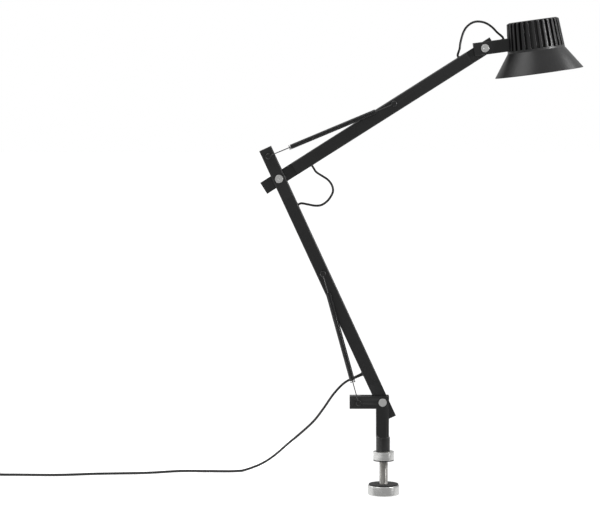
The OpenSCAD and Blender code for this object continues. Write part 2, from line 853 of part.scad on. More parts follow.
module power_adapter() {
    color("#1c1c1c") translate(adapter_centre) {
        linear_extrude(adapter_size[2]) round_rect(adapter_size[0], adapter_size[1], 5);
        translate([0, -adapter_size[1] / 2, adapter_cord_z]) rotate([90, 0, 0]) difference() {
            cylinder(r1 = 4, r2 = 2.6, h = 11);
            translate([0, 0, 4]) cylinder(r = cord_d / 2 + 0.05, h = 9);
        }
    }
}

module adapter_pins() {
    color(steel) for (side = [-1, 1])
        translate(adapter_centre + [side * pin_spacing / 2, adapter_size[1] / 2, adapter_size[2] / 2])
        across(2, 0, prong_length);
}

module elbow_cable() { color("#1a1a1a") sweep(elbow_route, cable_d, [0, 1, 0]); }
module head_cable() { color("#1a1a1a") sweep(head_route, cable_d, [0, 1, 0]); }

desk_collar();
collar_pad();
threaded_stud();
thrust_washer();
pressure_plate();
clamp_pad();
clamp_knob();
base_bracket();
swivel_spindle();
lever_spring_pin();
lower_pivot_bolt();
lower_cap_nut();
lower_friction_washers();
lower_arm_tube();
lower_arm_tongue();
lower_arm_head();
lower_pivot_bush();
lower_rivets();
lower_arm_spring_pins();
cord_relief();
lower_arm_grommet();
lower_arm_lead();
elbow_pivot_bolt();
elbow_cap_nut();
elbow_friction_washers();
lower_spring();
lower_spring_hook();
upper_arm_tube();
upper_arm_tongue();
upper_arm_tip();
upper_pivot_bushes();
upper_rivets();
upper_arm_spring_pin();
upper_arm_grommets();
upper_arm_lead();
upper_spring();
upper_spring_hook();
head_fork();
head_neck();
head_pivot_bolt();
head_cap_nut();
head_friction_washers();
neck_grommet();
head_lead();
head_screws();
finned_drum();
led_plate();
led_board();
reflector();
diffuser();
diffuser_ring();
shade();
dimmer_button();
dimmer_switch();
power_cord();
cord_coil();
power_adapter();
adapter_pins();
elbow_cable();
head_cable();
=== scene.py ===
"""Looks for the architect desk lamp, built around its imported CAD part.

Shapes are made in millimetres in the CAD's local frames, and put in place in metres.
"""

import json
from math import cos, pi, radians, sin, sqrt, tan, tau

import bmesh
import bpy
from mathutils import Matrix, Vector


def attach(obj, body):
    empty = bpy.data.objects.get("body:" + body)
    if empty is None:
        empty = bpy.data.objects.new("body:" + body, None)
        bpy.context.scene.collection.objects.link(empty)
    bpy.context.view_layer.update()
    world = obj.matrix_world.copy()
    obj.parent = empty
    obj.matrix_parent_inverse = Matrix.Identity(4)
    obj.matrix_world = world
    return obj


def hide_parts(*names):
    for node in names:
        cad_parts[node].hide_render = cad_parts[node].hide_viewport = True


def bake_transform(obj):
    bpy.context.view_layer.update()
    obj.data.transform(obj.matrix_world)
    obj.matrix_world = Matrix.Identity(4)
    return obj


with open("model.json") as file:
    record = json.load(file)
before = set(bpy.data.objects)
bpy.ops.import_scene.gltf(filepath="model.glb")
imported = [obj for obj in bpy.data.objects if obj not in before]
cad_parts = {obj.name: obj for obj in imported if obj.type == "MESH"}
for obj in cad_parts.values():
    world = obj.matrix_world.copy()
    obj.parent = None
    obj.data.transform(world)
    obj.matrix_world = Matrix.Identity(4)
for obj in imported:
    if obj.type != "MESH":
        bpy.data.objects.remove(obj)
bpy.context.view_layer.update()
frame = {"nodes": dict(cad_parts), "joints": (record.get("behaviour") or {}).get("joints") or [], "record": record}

MM = 0.001
record = frame["record"]
joint = {j["name"]: j for j in frame["joints"]}
slot_of = {row["node"]: row["material_slot"] for row in record["subparts"]}
body_of = {n: b for b, nodes in record["behaviour"]["bodies"].items() for n in nodes}

# ---- dimensions in millimetres, as in the CAD ----
profile = 20
half = profile / 2
arm_wall = 1.8
stud_r = 7
collar_r = 16.2
collar_top = 14.6
pad_t = 1.5
desk_gap = 36.2
knob_r = 24.5
knob_top = -desk_gap - pad_t - 0.2
knob_height = 15.6
plate_low = knob_top - 1.4
plate_r = 21
stud_low = -desk_gap - 14
spindle_bore_r = 4.3
spindle_bore_depth = 32
bolt_r = 4
disc_r = 6.25
disc_proud = 1.2
lower_spring_r = 4.3
upper_spring_r = 3.9
hook_r = 3.7
hook_length = 80
coil_start = 30
coil_length = 145
cord_along = 52.5
elbow_low_along = 333
elbow_high_along = 53.6
tip_cable_along = 333.2
grommet_r = 3
grommet_t = 0.4
relief_length = 18
cord_d = 3.6
cable_d = 3.5
drum_x = 78.2
drum_top = 32.9
drum_low = -13.9
drum_top_r = 40.2
drum_low_r = 44.3
drum_bore_r = 31
drum_chamfer = 2
drum_chamfer_in = 4.2
lid_t = 6
fin_count = 30
fin_gap = 4.2
fin_depth = 6
fin_foot = 3.4
neck_half = half
neck_end = drum_x - 35
neck_cable_x = 29.5
shade_r = 68.5
rim_low = -48.9
shade_t = 1.6
board_r = 27
lip_z = -21.4
lip_r = 46.3
lens_r = 45
ring_in_r = 42.5
ring_out_r = 48.7
button_r = 8
stem_r = 2
stem_low = 2.2
coil_x = -611
coil_y = -120
coil_r = 21.5
coil_strands = 9
adapter_x = -621
adapter_y = -26
adapter_size = (38, 58, 24)
pin_spacing = 18.6
pin_r = 2
pin_length = 19

# ---- dimensions in millimetres that the CAD doesn't have, or has a little smaller ----
floor_drop = 750
thread_pitch = 2
thread_depth = 1.05
wire_r = 0.8
coil_wire_r = 0.45
coil_gap = 1.4
coil_turns = 8.25
neck_recess = 16
shade_wall = shade_t * 1.22
fin_fade = 2.1

# ---- local frames: millimetres in, metres out ----
ACROSS = Vector((0, 1, 0))


def frame_at(origin, along):
    """The frame at a point in metres, with Z along a direction and Y across the lamp."""
    z = Vector(along).normalized()
    axes = Matrix((ACROSS.cross(z), ACROSS, z)).transposed().to_4x4()
    return Matrix.Translation(origin) @ axes @ Matrix.Scale(MM, 4)


def pivot(name):
    return Vector(joint[name]["pos_m"])


low_pivot = pivot("lower_arm_tilt")
elbow = pivot("elbow_tilt")
head_pivot = pivot("head_tilt")
DESK = Matrix.Scale(MM, 4)
POST = frame_at(low_pivot, (0, 0, 1))
LOWER = frame_at(low_pivot, elbow - low_pivot)
ELBOW = frame_at(elbow, elbow - low_pivot)
UPPER = frame_at(elbow, head_pivot - elbow)
HEAD = frame_at(head_pivot, -Vector(joint["dimmer_press"]["axis"]))
DRUM = HEAD @ Matrix.Translation((drum_x, 0, 0))
ADAPTER = DESK @ Matrix.Translation((adapter_x, adapter_y, 0))
TOWARDS_FRONT = Matrix.Rotation(radians(90), 4, "X")
TOWARDS_BACK = Matrix.Rotation(radians(-90), 4, "X")
TOWARDS_RIGHT = Matrix.Rotation(radians(90), 4, "Y")
TOWARDS_LEFT = Matrix.Rotation(radians(-90), 4, "Y")


def at(place, x, y, z):
    return place @ Matrix.Translation((x, y, z))


# ---- camera, at the photographed viewing angle ----
def make_camera():
    data = bpy.data.cameras.new("camera")
    data.lens = 155.8
    data.sensor_width = 36
    camera = bpy.data.objects.new("camera", data)
    camera.location = (-0.13, -4.0, 0.6425)
    looks_at = Vector((-0.13, 0, 0.3175))
    camera.rotation_euler = (looks_at - camera.location).to_track_quat("-Z", "Y").to_euler()
    bpy.context.scene.collection.objects.link(camera)
    bpy.context.scene.camera = camera


# ---- mesh makers ----
def rounded(corners, steps=5):
    """A closed outline with arcs at its corners; a corner is (x, y) or (x, y, radius)."""
    outline = []
    for i, corner in enumerate(corners):
        here = Vector(corner[:2])
        if len(corner) < 3:
            outline.append(here)
            continue
        radius = corner[2]
        back = (Vector(corners[i - 1][:2]) - here).normalized()
        on = (Vector(corners[(i + 1) % len(corners)][:2]) - here).normalized()
        opening = back.angle(on)
        centre = here + (back + on).normalized() * radius / sin(opening / 2)
        first = here + back * radius / tan(opening / 2) - centre
        last = here + on * radius / tan(opening / 2) - centre
        for k in range(steps + 1):
            outline.append(centre + first.slerp(last, k / steps).normalized() * radius)
    return [(p[0], p[1]) for p in outline]


def ring_of(bm, radius, height, steps):
    if abs(radius) < 1e-6:
        return [bm.verts.new((0, 0, height))]
    turns = [tau * k / steps for k in range(steps)]
    return [bm.verts.new((radius * cos(t), radius * sin(t), height)) for t in turns]


def skin(bm, a, b):
    """Faces between two closed rings of points; a ring may be a single point."""
    n = max(len(a), len(b))
    for k in range(n):
        quad = [a[k % len(a)], a[(k + 1) % len(a)], b[(k + 1) % len(b)], b[k % len(b)]]
        corners = list(dict.fromkeys(quad))
        if len(corners) > 2:
            bm.faces.new(corners)


def lathe(outline, steps=96):
    """A solid turned about Z from a closed outline of (radius, height) points."""
    bm = bmesh.new()
    rings = [ring_of(bm, r, z, steps) for r, z in outline]
    for i, ring in enumerate(rings):
        skin(bm, ring, rings[(i + 1) % len(rings)])
    return bm


def loft(sections, bm=None):
    """A solid through closed sections of 3-D points, with its two ends filled."""
    bm = bm or bmesh.new()
    rings = [[bm.verts.new(p) for p in section] for section in sections]
    for a, b in zip(rings, rings[1:]):
        skin(bm, a, b)
    bm.faces.new(rings[0])
    bm.faces.new(rings[-1])
    return bm


def gather(parts):
    """Several meshes in one, with the separate ones freed."""
    whole = bmesh.new()
    for part in parts:
        mesh = bpy.data.meshes.new("part")
        part.to_mesh(mesh)
        part.free()
        whole.from_mesh(mesh)
        bpy.data.meshes.remove(mesh)
    return whole


def moved(bm, place):
    """The same mesh, at a place."""
    bm.transform(place)
    return bm


def tube(path, radius, sides=12):
    """A round tube along points, without twist; radius is one number or one for each point."""
    path = [Vector(p) for p in path]
    radii = radius if isinstance(radius, list) else [radius] * len(path)
    across = None
    sections = []
    for i, centre in enumerate(path):
        heading = (path[min(i + 1, len(path) - 1)] - path[max(i - 1, 0)]).normalized()
        if across is None:
            across = heading.orthogonal().normalized()
        across = (across - heading * across.dot(heading)).normalized()
        up = heading.cross(across)
        turns = [tau * k / sides for k in range(sides)]
        sections.append([centre + radii[i] * (cos(t) * across + sin(t) * up) for t in turns])
    return loft(sections)


def smooth_curve(points, steps):
    """A Catmull-Rom curve through points."""
    points = [Vector(p) for p in points]
    padded = [points[0], *points, points[-1]]
    curve = []
    for a, b, c, d in zip(padded, padded[1:], padded[2:], padded[3:]):
        for k in range(steps):
            t = k / steps
            square = (2 * a - 5 * b + 4 * c - d) * t * t
            cube = (3 * b - a - 3 * c + d) * t * t * t
            curve.append(0.5 * (2 * b + (c - a) * t + square + cube))
    return [*curve, points[-1]]


def new_piece(name, bm, place, sharp=32):
    """An object from a mesh made in a local frame, with its place in its points."""
    bmesh.ops.remove_doubles(bm, verts=bm.verts, dist=1e-4)
    bmesh.ops.recalc_face_normals(bm, faces=bm.faces)
    bm.transform(place)
    mesh = bpy.data.meshes.new(name)
    bm.to_mesh(mesh)
    bm.free()
    mesh.shade_smooth()
    mesh.set_sharp_from_angle(angle=radians(sharp))
    piece = bpy.data.objects.new(name, mesh)
    bpy.context.scene.collection.objects.link(piece)
    return piece


def make(name, bm, place, node, look=None, stands_in=True, slot=None, sharp=32):
    """A piece that rides with a CAD node's body, has its finish and usually replaces it."""
    piece = new_piece(name, bm, place, sharp)
    piece.data.materials.append(look or looks[slot or slot_of[node]])
    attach(piece, body_of[node])
    if stands_in:
        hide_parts(node)
    return piece


def cut(piece, bm, place):
    """Takes a shape out of a piece."""
    cutter = new_piece("cutter", bm, place)
    difference = piece.modifiers.new("cut", "BOOLEAN")
    difference.operation = "DIFFERENCE"
    difference.solver = "EXACT"
    difference.object = cutter
    whole = piece.evaluated_get(bpy.context.evaluated_depsgraph_get())
    mesh = bpy.data.meshes.new_from_object(whole)
    piece.modifiers.clear()
    piece.data = mesh
    bpy.data.objects.remove(cutter)


def soften(node, width=0.4, segments=3):
    """Gives a CAD piece real rounded edges, without a change to its own mesh."""
    piece = frame["nodes"][node]
    weld = piece.modifiers.new("weld", "WELD")
    weld.merge_threshold = 1e-6
    planes = piece.modifiers.new("planes", "DECIMATE")
    planes.decimate_type = "DISSOLVE"
    planes.angle_limit = radians(0.6)
    edges = piece.modifiers.new("edges", "BEVEL")
    edges.width = width * MM
    edges.segments = segments
    edges.limit_method = "ANGLE"
    edges.angle_limit = radians(32)
    normals = piece.modifiers.new("normals", "WEIGHTED_NORMAL")
    normals.keep_sharp = True


# ---- materials ----
def object_place(nodes, links):
    return nodes.new("ShaderNodeTexCoord").outputs["Object"]


def turned_about(centre, axis):
    """Coordinates that only change along a turned part's radius and height, as tool marks do."""

    def place(nodes, links):
        spin = nodes.new("ShaderNodeMapping")
        spin.vector_type = "TEXTURE"
        spin.inputs["Location"].default_value = centre
        spin.inputs["Rotation"].default_value = (radians(90), 0, 0) if axis == "Y" else (0, 0, 0)
        links.new(object_place(nodes, links), spin.inputs["Vector"])
        parts = nodes.new("ShaderNodeSeparateXYZ")
        links.new(spin.outputs["Vector"], parts.inputs["Vector"])
        flat = nodes.new("ShaderNodeCombineXYZ")
        links.new(parts.outputs["X"], flat.inputs["X"])
        links.new(parts.outputs["Y"], flat.inputs["Y"])
        radius = nodes.new("ShaderNodeVectorMath")
        radius.operation = "LENGTH"
        links.new(flat.outputs["Vector"], radius.inputs[0])
        marks = nodes.new("ShaderNodeCombineXYZ")
        links.new(radius.outputs["Value"], marks.inputs["X"])
        links.new(parts.outputs["Z"], marks.inputs["Y"])
        return marks.outputs["Vector"]

    return place


def material(name, colour, second, rough, metal=0.0, specular=0.5, grain=0.4, depth=0.1,
             patch=25.0, worn=None, place=object_place, transmission=0.0):
    """A finish with two mixed colours, uneven roughness and a bump of the given grain, in millimetres."""
    made = bpy.data.materials.new(name)
    made.use_nodes = True
    nodes, links = made.node_tree.nodes, made.node_tree.links
    shader = nodes["Principled BSDF"]
    shader.inputs["Metallic"].default_value = metal
    shader.inputs["Specular IOR Level"].default_value = specular
    shader.inputs["Transmission Weight"].default_value = transmission
    where = place(nodes, links)

    def noise(size, detail):
        texture = nodes.new("ShaderNodeTexNoise")
        texture.inputs["Scale"].default_value = 1 / (size * MM)
        texture.inputs["Detail"].default_value = detail
        links.new(where, texture.inputs["Vector"])
        return texture.outputs["Fac"]

    patches = noise(patch, 4)
    fine = noise(grain, 3)
    mix = nodes.new("ShaderNodeMix")
    mix.data_type = "RGBA"
    mix.inputs["A"].default_value = (*colour, 1)
    mix.inputs["B"].default_value = (*second, 1)
    links.new(patches, mix.inputs["Factor"])
    base = mix.outputs["Result"]
    if worn:
        edges = nodes.new("ShaderNodeMapRange")
        edges.inputs["From Min"].default_value = 0.52
        edges.inputs["From Max"].default_value = 0.66
        edges.inputs["To Max"].default_value = 0.8
        links.new(nodes.new("ShaderNodeNewGeometry").outputs["Pointiness"], edges.inputs["Value"])
        rub = nodes.new("ShaderNodeMix")
        rub.data_type = "RGBA"
        rub.inputs["B"].default_value = (*worn, 1)
        links.new(base, rub.inputs["A"])
        links.new(edges.outputs["Result"], rub.inputs["Factor"])
        base = rub.outputs["Result"]
    links.new(base, shader.inputs["Base Color"])
    span = nodes.new("ShaderNodeMapRange")
    span.inputs["To Min"].default_value = rough[0]
    span.inputs["To Max"].default_value = rough[1]
    links.new(fine if metal else patches, span.inputs["Value"])
    links.new(span.outputs["Result"], shader.inputs["Roughness"])
    bump = nodes.new("ShaderNodeBump")
    bump.inputs["Strength"].default_value = depth
    bump.inputs["Distance"].default_value = grain * MM
    links.new(fine, bump.inputs["Height"])
    links.new(bump.outputs["Normal"], shader.inputs["Normal"])
    return made


def turned_steel(name, centre, axis):
    return material(name, (0.66, 0.66, 0.65), (0.56, 0.56, 0.55), (0.22, 0.4), metal=1.0,
                    grain=0.35, depth=0.18, place=turned_about(centre, axis))


looks = {
    "powder_coat": material("powder_coat", (0.006, 0.006, 0.0062), (0.0095, 0.0095, 0.0098),
                            (0.3, 0.4), specular=0.4, grain=0.35, depth=0.12,
                            worn=(0.03, 0.03, 0.03)),
    "spring_black": material("spring_black", (0.006, 0.006, 0.0065), (0.014, 0.014, 0.0145),
                             (0.24, 0.36), specular=0.5, grain=0.5, depth=0.1, patch=6),
    "bright_steel": material("bright_steel", (0.62, 0.62, 0.6), (0.5, 0.5, 0.49),
                             (0.2, 0.36), metal=1.0, grain=0.3, depth=0.12, patch=8),
    "raw_alloy": material("raw_alloy", (0.62, 0.62, 0.61), (0.5, 0.5, 0.49), (0.2, 0.36),
                          metal=1.0, grain=0.4, depth=0.16, patch=9,
                          place=turned_about((0, 0, 0), "Z")),
    "rubber": material("rubber", (0.02, 0.02, 0.02), (0.035, 0.035, 0.034), (0.6, 0.8),
                       specular=0.3, grain=0.5, depth=0.25, patch=7),
    "nylon": material("nylon", (0.7, 0.68, 0.62), (0.62, 0.6, 0.54), (0.4, 0.55),
                      grain=0.5, depth=0.1, patch=5),
    "bronze": material("bronze", (0.5, 0.33, 0.15), (0.36, 0.22, 0.1), (0.25, 0.45),
                       metal=1.0, grain=0.4, depth=0.15, patch=4),
    "cable_sheath": material("cable_sheath", (0.007, 0.007, 0.007), (0.012, 0.012, 0.012),
                             (0.34, 0.5), specular=0.35, grain=0.6, depth=0.12, patch=12),
    "circuit_board": material("circuit_board", (0.82, 0.82, 0.78), (0.74, 0.74, 0.7),
                              (0.3, 0.45), grain=0.3, depth=0.1, patch=5),
    "white_reflector": material("white_reflector", (0.86, 0.86, 0.85), (0.8, 0.8, 0.79),
                                (0.12, 0.22), grain=0.8, depth=0.04, patch=20),
    "opal_diffuser": material("opal_diffuser", (0.88, 0.87, 0.84), (0.82, 0.81, 0.78),
                              (0.35, 0.5), grain=0.3, depth=0.12, patch=15,
                              transmission=0.15),
    "button_black": material("button_black", (0.016, 0.016, 0.016), (0.026, 0.026, 0.026),
                             (0.38, 0.5), specular=0.4, grain=0.25, depth=0.2, patch=6),
    "adapter_black": material("adapter_black", (0.014, 0.014, 0.014), (0.024, 0.024, 0.024),
                              (0.45, 0.62), specular=0.4, grain=0.45, depth=0.3, patch=12),
}
stud_steel = material("stud_steel", (0.58, 0.57, 0.55), (0.42, 0.41, 0.39), (0.25, 0.42),
                      metal=1.0, grain=0.3, depth=0.15, patch=3)
drawn_wire = material("drawn_wire", (0.1, 0.1, 0.1), (0.06, 0.06, 0.06), (0.3, 0.42),
                      metal=1.0, grain=0.25, depth=0.12, patch=4)


# ---- cords ----
def metres(points):
    return [Vector(p) * MM for p in points]


def on_desk(path):
    """A path kept so that its cord lies on the desk top and not in it."""
    return [Vector((p.x, p.y, max(p.z, cord_d / 2 * MM))) for p in path]


def stored_turns():
    """The turns of the stored cord, each a little further round its round bundle."""
    ring = cord_d / (2 * sin(pi / coil_strands))
    steps = 26
    count = round(coil_turns * steps)
    path = []
    for k in range(1, count + 1):
        turn = -tau / 4 - tau * k / steps
        round_bundle = -tau / 4 - tau * (k / steps) / coil_strands
        r = coil_r + ring * cos(round_bundle)
        height = cord_d / 2 + ring * (1 + sin(round_bundle))
        path.append(Vector((coil_x + r * cos(turn), coil_y + r * sin(turn), height)) * MM)
    return path


def cable(name, path, diameter, node, exit, far_end, bodies, with_pieces=(), **facts):
    """A cord along a path in metres, from one body to another, left fixed in the world."""
    piece = new_piece(name, tube(path, diameter / 2 * MM, 14), Matrix.Identity(4), sharp=80)
    piece.data.materials.append(looks["cable_sheath"])
    facts.pop("start")
    facts.pop("end")
    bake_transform(piece)
    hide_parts(*node)
    return piece


def make_power_cord(with_pieces):
    leaves_arm = LOWER @ Vector((-half, 0, cord_along))
    free_from = (-126, -43, 52)
    route = [
        LOWER @ Vector((arm_wall - half - 0.3, 0, cord_along)),
        LOWER @ Vector((-half - relief_length, 0, cord_along)),
        LOWER @ Vector((-half - relief_length - 8, 0, cord_along)),
        *metres([
            (-66, -4, 118), (-79, -8, 104), (-93, -17, 85), (-108, -29, 67), free_from,
            (-148, -60, 36), (-173, -82, 18), (-197, -98, 7), (-230, -112, 0), (-267, -112, 0),
            (-312, -111, 0), (-362, -128, 0), (-434, -136, 0), (-492, -147, 0),
            (-552, -145, 0), (-587, -144, 0), (coil_x, coil_y - coil_r, 0),
        ]),
    ]
    turns = stored_turns()
    tail = [
        turns[-1],
        *metres([
            (-636, -112, 0), (-636, -104, 0), (-632, -94, 0), (-625, -84, 3), (-621, -74, 6),
            (-621, -66, 6), (-621, -60, 6), (-621, -46, 6),
        ]),
    ]
    path = on_desk(smooth_curve(route, 6)) + turns + on_desk(smooth_curve(tail, 6)[1:])
    cable("power_lead", path, cord_d, ["power_cord", "cord_coil"], leaves_arm, "plug",
          ("lower_arm", "post"), with_pieces, start=leaves_arm,
          end=Vector(free_from) * MM, stiffness="medium", lay="coiled")


def make_elbow_cable():
    path = smooth_curve([
        UPPER @ Vector((half - arm_wall, 0, elbow_high_along)),
        UPPER @ Vector((half + 4, 0, elbow_high_along)),
        *metres([
            (-105, 0, 449), (-96, 0, 443), (-87, 0, 437), (-81, 0, 429), (-79, 0, 420),
            (-82, 0, 412), (-88, 0, 404), (-97, 0, 398), (-107, 0, 397), (-118, 0, 399),
        ]),
        LOWER @ Vector((half + 5, 0, elbow_low_along)),
        LOWER @ Vector((half - arm_wall, 0, elbow_low_along)),
    ], 6)
    high = UPPER @ Vector((half, 0, elbow_high_along))
    low = LOWER @ Vector((half, 0, elbow_low_along))
    cable("elbow_lead", path, cable_d, ["elbow_cable"], high, "object",
          ("lower_arm", "upper_arm"), start=low, end=high, stiffness="medium", lay="loose")


def make_head_cable():
    path = smooth_curve([
        UPPER @ Vector((arm_wall - half, 0, tip_cable_along)),
        UPPER @ Vector((-half - 3, 0, tip_cable_along)),
        *metres([
            (115, 0, 638), (116, 0, 646), (118, 0, 655), (121, 0, 664), (126, 0, 672),
            (134, 0, 678), (143, 0, 680), (154, 0, 678), (164, 0, 672), (173, 0, 663),
        ]),
        HEAD @ Vector((neck_cable_x, 0, neck_half + 3)),
        HEAD @ Vector((neck_cable_x, 0, neck_half - arm_wall)),
    ], 6)
    low = UPPER @ Vector((-half, 0, tip_cable_along))
    high = HEAD @ Vector((neck_cable_x, 0, neck_half))
    cable("head_lead_loop", path, cable_d, ["head_cable"], low, "object",
          ("upper_arm", "head"), start=low, end=high, stiffness="medium", lay="loose")


# ---- plug-in adapter and the tie round the stored cord ----
def rounded_section(width, depth, radius, height):
    w, d = width / 2, depth / 2
    outline = rounded([(-w, -d, radius), (w, -d, radius), (w, d, radius), (-w, d, radius)], 6)
    return [(x, y, height) for x, y in outline]


def make_adapter():
    width, depth, height = adapter_size
    seam = height / 2
    levels = [
        (0, 1.6), (0.25, 0.8), (0.8, 0.25), (1.6, 0), (seam - 0.5, 0), (seam - 0.3, 0.35),
        (seam + 0.3, 0.35), (seam + 0.5, 0), (height - 1.6, 0), (height - 0.8, 0.25),
        (height - 0.25, 0.8), (height, 1.6),
    ]
    bm = loft([rounded_section(width - 2 * i, depth - 2 * i, 5, z) for z, i in levels])
    case = make("adapter_case", bm, ADAPTER, "power_adapter")
    outline = [(cord_d / 2 + 0.05, 0), (4, 0), (4, 1)]
    for k in range(4):
        z, r = 1.4 + 2.2 * k, 3.9 - 0.3 * k
        outline += [(r - 0.9, z), (r - 0.9, z + 0.8), (r, z + 1), (r, z + 2)]
    outline += [(2.6, 10.8), (2.4, 11), (cord_d / 2 + 0.05, 11)]
    relief = make("adapter_relief", lathe(outline, 48),
                  at(ADAPTER, 0, -depth / 2, 6) @ TOWARDS_FRONT, "power_adapter",
                  stands_in=False)

    def pair(outline, steps):
        """Two turned pieces side by side on the adapter's back face."""
        places = [Matrix.Translation((side * pin_spacing / 2, depth / 2, seam)) @ TOWARDS_BACK
                  for side in (-1, 1)]
        return gather(moved(lathe(rounded(outline, steps), 40), place) for place in places)

    bm = pair([(0, 0), (pin_r, 0), (pin_r, pin_length, 1.2), (0, pin_length)], 5)
    pins = make("adapter_contacts", bm, ADAPTER, "adapter_pins")
    bm = pair([(pin_r + 0.02, -0.2), (pin_r + 0.25, -0.2), (pin_r + 0.25, 10, 0.15),
               (pin_r + 0.02, 10)], 3)
    sleeves = make("adapter_sleeves", bm, ADAPTER, "adapter_pins", stands_in=False,
                   slot="adapter_black")
    return [case, relief, pins, sleeves]


def make_cord_tie():
    """A soft strap round the bundle, flat where it lies on the desk, with a stub end."""
    ring = cord_d / (2 * sin(pi / coil_strands)) + cord_d / 2
    outer, inner, width = ring + 0.75, ring + 0.05, 5
    bm = bmesh.new()
    loops = []
    for across in (-width / 2, width / 2):
        for r in (inner, outer):
            loop = []
            for k in range(40):
                t = tau * k / 40
                height = max(ring + r * sin(t), 0.05 if r == outer else 0.4)
                loop.append(bm.verts.new((coil_r + r * cos(t), across, height)))
            loops.append(loop)
    a_in, a_out, b_in, b_out = loops
    for first, second in ((a_in, a_out), (a_out, b_out), (b_out, b_in), (b_in, a_in)):
        skin(bm, first, second)
    stub_x = coil_r + outer + 0.45
    loft([[(x + stub_x, y, z) for x, y, z in rounded_section(1.0, width - 0.4, 0.3, level)]
          for level in (4, 9.5)], bm=bm)
    place = DESK @ Matrix.Translation((coil_x, coil_y, 0)) @ Matrix.Rotation(radians(40), 4, "Z")
    return make("cord_tie", bm, place, "cord_coil", stands_in=False, slot="rubber")


# ---- desk mount ----
def threaded_stud():
    """A bolt with a helical thread, hollow at the top for the spindle."""
    steps, rise = 48, 0.2
    bm = bmesh.new()
    rings = [ring_of(bm, 0, stud_low, steps)]
    count = round((-stud_low - 0.4) / rise)
    for i in range(count + 1):
        z = stud_low + i * rise
        chamfer = max(0.0, 1.0 - i * rise)
        loop = []
        for k in range(steps):
            t = tau * k / steps
            phase = (z / thread_pitch - k / steps) % 1
            flank = min(1.0, max(0.0, abs(phase - 0.5) * 2.6 - 0.22))
            r = stud_r - 0.06 - thread_depth * (1 - flank)
            r = min(r, stud_r - chamfer)
            loop.append(bm.verts.new((r * cos(t), r * sin(t), z)))
        rings.append(loop)
    for r, z in ((stud_r - 0.06, 0), (stud_r, 1.4), (stud_r, collar_top - 0.3),
                 (stud_r - 0.3, collar_top), (spindle_bore_r, collar_top),
                 (spindle_bore_r, -spindle_bore_depth), (0, -spindle_bore_depth)):
        rings.append(ring_of(bm, r, z, steps))
    for a, b in zip(rings, rings[1:]):
        skin(bm, a, b)
    return bm


def make_mount():
    collar = lathe(rounded([
        (stud_r, pad_t), (collar_r, pad_t, 0.7), (collar_r, collar_top, 0.7),
        (stud_r, collar_top, 0.3),
    ]), 128)
    make("turned_collar", collar, DESK, "desk_collar")
    pad = lathe(rounded([
        (stud_r + 0.6, 0, 0.2), (collar_r - 0.2, 0, 0.3), (collar_r - 0.2, pad_t, 0.3),
        (stud_r + 0.6, pad_t, 0.2),
    ]), 96)
    make("collar_rubber", pad, DESK, "collar_pad")
    make("stud_thread", threaded_stud(), DESK, "threaded_stud", stud_steel, sharp=50)
    pad = lathe(rounded([
        (stud_r + 0.6, -desk_gap - pad_t, 0.2), (knob_r - 1.5, -desk_gap - pad_t, 0.3),
        (knob_r - 1.5, -desk_gap, 0.4), (stud_r + 0.6, -desk_gap, 0.4),
    ]), 96)
    make("clamp_rubber", pad, DESK, "clamp_pad")
    low = knob_top - knob_height
    knob = lathe(rounded([
        (stud_r + 0.05, low, 0.4), (knob_r, low, 2), (knob_r, knob_top, 2),
        (plate_r + 0.2, knob_top, 0.3), (plate_r + 0.2, plate_low), (stud_r + 0.05, plate_low),
    ], 7), 144)
    make("turned_knob", knob, DESK, "clamp_knob")


# ---- pivots ----
def make_pivot(place, joint_name, bolt, nut):
    """A turned silver disc on each side of the fork, each with a shallow round recess in its face."""
    steel = turned_steel("disc_" + joint_name, pivot(joint_name), "Y")
    front = half + disc_proud
    outline = [
        (0, half - 2), *rounded([
            (bolt_r, half - 2), (bolt_r, half - 1), (disc_r, half - 1), (disc_r, front - 0.1, 0.45),
            (2.2, front, 0.3), (1.9, front - 0.25, 0.2),
        ], 4), (0, front - 0.3),
    ]
    shank = [(0, -half - 0.4), (bolt_r, -half - 0.4), (bolt_r, half - 2)]
    bm = lathe(shank + outline[1:], 96)
    make(bolt + "_turned", bm, place @ TOWARDS_FRONT, bolt, steel)
    nut_outline = rounded([
        (bolt_r, half - 1), (disc_r, half - 1), (disc_r, front, 0.5), (3.1, front, 0.25),
        (2.9, half + 0.5), (bolt_r, half + 0.5),
    ], 4)
    bm = lathe(nut_outline, 96)
    make(nut + "_turned", bm, place @ TOWARDS_BACK, nut, steel)


def dome_rivets(name, node, place, heights):
    """Rivets with domed heads on an arm's far side."""
    outline = [(0, half - 6), (1.5, half - 6), (1.5, half), (2.6, half), (2.55, half + 0.2),
               (2.2, half + 0.45), (1.5, half + 0.57), (0, half + 0.6)]
    bm = gather(moved(lathe(outline, 32), Matrix.Translation((0, 0, z)) @ TOWARDS_BACK)
                for z in heights)
    make(name, bm, place, node)


# ---- springs ----
def hook_path(length):
    """A wire's eye round its pin and the straight stretch that leaves it."""
    eye = [radians(130 + 300 * k / 30) for k in range(31)]
    path = [Vector((hook_r * cos(t), 0, hook_r * sin(t))) for t in eye]
    lead = smooth_curve([path[-2], path[-1], (0.45, 0, 4.3), (0.05, 0, 5.8), (0, 0, 7.5),
                         (0, 0, 10)], 5)
    return path + lead[6:] + [Vector((0, 0, length))]


